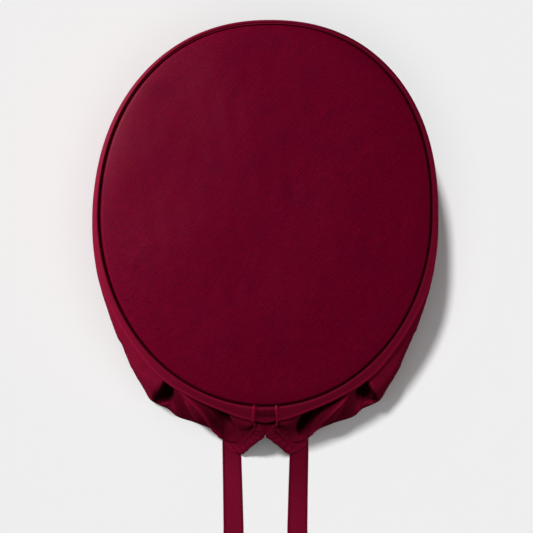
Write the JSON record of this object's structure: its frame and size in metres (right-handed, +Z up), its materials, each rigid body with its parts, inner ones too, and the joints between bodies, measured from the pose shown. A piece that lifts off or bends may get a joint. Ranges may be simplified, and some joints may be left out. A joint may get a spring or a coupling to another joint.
{
  "type": "surgical cap",
  "caption": "Tie-back surgical cap in dark red cotton twill: oval crown panel, deep side band gathered into folds at the back, hemmed slit and two flat ties, standing on its rim.",
  "frame": {"origin": "on the ground under the middle of the cap without its ties, where the rim rests", "axes": "+Z up through the crown, +Y towards the forehead, so the slit and the ties are at -Y; X = 0 is the plane that the two sides mirror in"},
  "size_m": [0.1816, 0.2843, 0.0937],
  "materials": {
    "crown_twill": "matt dark red cotton twill",
    "band_twill": "matt dark red cotton twill",
    "trim_twill": "matt dark red cotton twill, stitched",
    "tie_twill": "matt dark red cotton twill, edge-stitched"
  },
  "bodies": {
    "root": {"crown_panel": "crown_twill", "side_band": "band_twill", "back_bridge": "band_twill", "back_gusset": "band_twill", "back_hem_left": "trim_twill", "back_hem_right": "trim_twill", "casing_left": "trim_twill", "casing_right": "trim_twill", "tie_left": "tie_twill", "tie_right": "tie_twill"}
  },
  "joints": []
}
